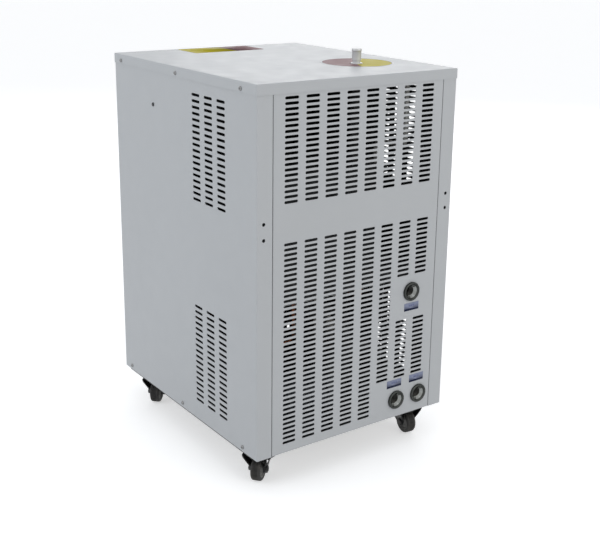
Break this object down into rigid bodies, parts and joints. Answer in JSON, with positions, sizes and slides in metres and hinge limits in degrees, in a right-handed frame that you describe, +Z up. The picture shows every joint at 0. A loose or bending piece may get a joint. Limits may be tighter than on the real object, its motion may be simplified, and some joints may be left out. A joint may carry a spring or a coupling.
{
  "type": "industrial water chiller",
  "caption": "Cabinet water chiller on swivel casters: slotted panels, lift-off top cover with a filler, water ports at the rear, refrigeration and water circuits inside.",
  "frame": {"origin": "on the floor under the middle of the cabinet", "axes": "+Z up, +Y towards the rear panel with the water ports, the controls face -Y, +X towards the machine's right side seen from behind in the picture's near corner"},
  "size_m": [0.4929, 0.5725, 0.824],
  "materials": {
    "cabinet_paint": "fine textured powder coat, pale grey",
    "zinc_sheet": "zinc-coated sheet",
    "screw_steel": "zinc-plated steel",
    "black_plastic": "matt black",
    "port_metal": "turned, dark nickel",
    "port_label_film": "printed film, plain colour fields",
    "round_label_film": "printed film, plain colour fields",
    "front_label_film": "printed film, plain colour fields",
    "filler_metal": "satin",
    "tank_plastic": "black foam-faced plastic",
    "pale_hose": "translucent white",
    "pump_paint": "satin dark",
    "hose_rubber": "matt black",
    "evaporator_steel": "brazed stainless steel",
    "compressor_paint": "semi-gloss black",
    "coil_aluminium": "mill finish",
    "shroud_paint": "satin black",
    "motor_paint": "satin black",
    "fan_plastic": "grey",
    "copper": "drawn copper",
    "contactor_plastic": "grey",
    "fascia_paint": "satin blue-grey",
    "controller_plastic": "semi-gloss black",
    "key_plastic": "grey",
    "rocker_plastic": "red",
    "lamp_lens": "green lens",
    "caster_paint": "black",
    "wheel_rubber": "black rubber"
  },
  "bodies": {
    "cabinet": {"base_tray": "cabinet_paint", "side_panel_right": "cabinet_paint", "side_panel_left": "cabinet_paint", "rear_panel": "cabinet_paint", "front_panel": "cabinet_paint", "top_cover": "cabinet_paint", "mid_shelf": "zinc_sheet", "cover_screws": "screw_steel", "base_screws": "screw_steel", "foot_screws": "screw_steel", "side_plug": "black_plastic", "lock_nuts": "port_metal", "port_labels": "port_label_film", "round_label": "round_label_film", "front_label": "front_label_film", "filler_neck": "filler_metal", "water_tank": "tank_plastic", "tank_lid": "tank_plastic", "vent_hose": "pale_hose", "circulation_pump": "pump_paint", "water_hoses": "hose_rubber", "plate_evaporator": "evaporator_steel", "compressor": "compressor_paint", "compressor_mounts": "hose_rubber", "mount_bolts": "screw_steel", "condenser_coil": "coil_aluminium", "fan_shroud": "shroud_paint", "fan_motor": "motor_paint", "filter_drier": "copper", "refrigerant_pipes": "copper", "control_bracket": "zinc_sheet", "contactor": "contactor_plastic", "control_fascia": "fascia_paint", "temperature_controller": "controller_plastic", "switch_frame": "black_plastic", "indicator_lamps": "lamp_lens", "cable_gland": "black_plastic", "return_port": "port_metal", "supply_port": "port_metal", "drain_port": "port_metal", "caster_plates": "caster_paint", "caster_bolts": "screw_steel"},
    "fan": {"fan_blades": "fan_plastic"},
    "cap": {"filler_cap": "filler_metal"},
    "rocker": {"switch_rocker": "rocker_plastic"},
    "key_set_body": {"key_set": "key_plastic"},
    "key_down_body": {"key_down": "key_plastic"},
    "key_up_body": {"key_up": "key_plastic"},
    "fork_rear_right": {"caster_fork_rear_right": "caster_paint", "caster_axle_rear_right": "caster_paint"},
    "wheel_rear_right": {"caster_wheel_rear_right": "wheel_rubber"},
    "fork_rear_left": {"caster_fork_rear_left": "caster_paint", "caster_axle_rear_left": "caster_paint"},
    "wheel_rear_left": {"caster_wheel_rear_left": "wheel_rubber"},
    "fork_front_right": {"caster_fork_front_right": "caster_paint", "caster_axle_front_right": "caster_paint"},
    "wheel_front_right": {"caster_wheel_front_right": "wheel_rubber"},
    "fork_front_left": {"caster_fork_front_left": "caster_paint", "caster_axle_front_left": "caster_paint"},
    "wheel_front_left": {"caster_wheel_front_left": "wheel_rubber"}
  },
  "joints": [
    {"name": "swivel_rear_right", "type": "hinge", "parent": "cabinet", "child": "fork_rear_right", "pos_m": [0.184, 0.217, 0.068], "axis": [0, 0, 1], "continuous": true},
    {"name": "roll_rear_right", "type": "hinge", "parent": "fork_rear_right", "child": "wheel_rear_right", "pos_m": [0.19661, 0.22685, 0.025], "axis": [-0.6157, 0.788, 0], "continuous": true},
    {"name": "swivel_rear_left", "type": "hinge", "parent": "cabinet", "child": "fork_rear_left", "pos_m": [-0.184, 0.217, 0.068], "axis": [0, 0, 1], "continuous": true},
    {"name": "roll_rear_left", "type": "hinge", "parent": "fork_rear_left", "child": "wheel_rear_left", "pos_m": [-0.18205, 0.23288, 0.025], "axis": [-0.9925, 0.1219, 0], "continuous": true},
    {"name": "swivel_front_right", "type": "hinge", "parent": "cabinet", "child": "fork_front_right", "pos_m": [0.184, -0.217, 0.068], "axis": [0, 0, 1], "continuous": true},
    {"name": "roll_front_right", "type": "hinge", "parent": "fork_front_right", "child": "wheel_front_right", "pos_m": [0.19531, -0.20569, 0.025], "axis": [-0.7071, 0.7071, 0], "continuous": true},
    {"name": "swivel_front_left", "type": "hinge", "parent": "cabinet", "child": "fork_front_left", "pos_m": [-0.184, -0.217, 0.068], "axis": [0, 0, 1], "continuous": true},
    {"name": "roll_front_left", "type": "hinge", "parent": "fork_front_left", "child": "wheel_front_left", "pos_m": [-0.192, -0.20314, 0.025], "axis": [-0.866, -0.5, 0], "continuous": true},
    {"name": "fan_spin", "type": "hinge", "parent": "cabinet", "child": "fan", "pos_m": [0, -0.195, 0.201], "axis": [0, 1, 0], "continuous": true},
    {"name": "cap_lift", "type": "slide", "parent": "cabinet", "child": "cap", "axis": [0, 0, 1], "range_m": [0, 0.04]},
    {"name": "rocker_tip", "type": "hinge", "parent": "cabinet", "child": "rocker", "pos_m": [-0.08, -0.276, 0.713], "axis": [1, 0, 0], "range_deg": [-16, 0]},
    {"name": "key_set_press", "type": "slide", "parent": "cabinet", "child": "key_set_body", "axis": [0, 1, 0], "range_m": [0, 0.0008], "stiffness_N_per_m": 400, "springref_m": -0.0008},
    {"name": "key_down_press", "type": "slide", "parent": "cabinet", "child": "key_down_body", "axis": [0, 1, 0], "range_m": [0, 0.0008], "stiffness_N_per_m": 400, "springref_m": -0.0008},
    {"name": "key_up_press", "type": "slide", "parent": "cabinet", "child": "key_up_body", "axis": [0, 1, 0], "range_m": [0, 0.0008], "stiffness_N_per_m": 400, "springref_m": -0.0008}
  ]
}
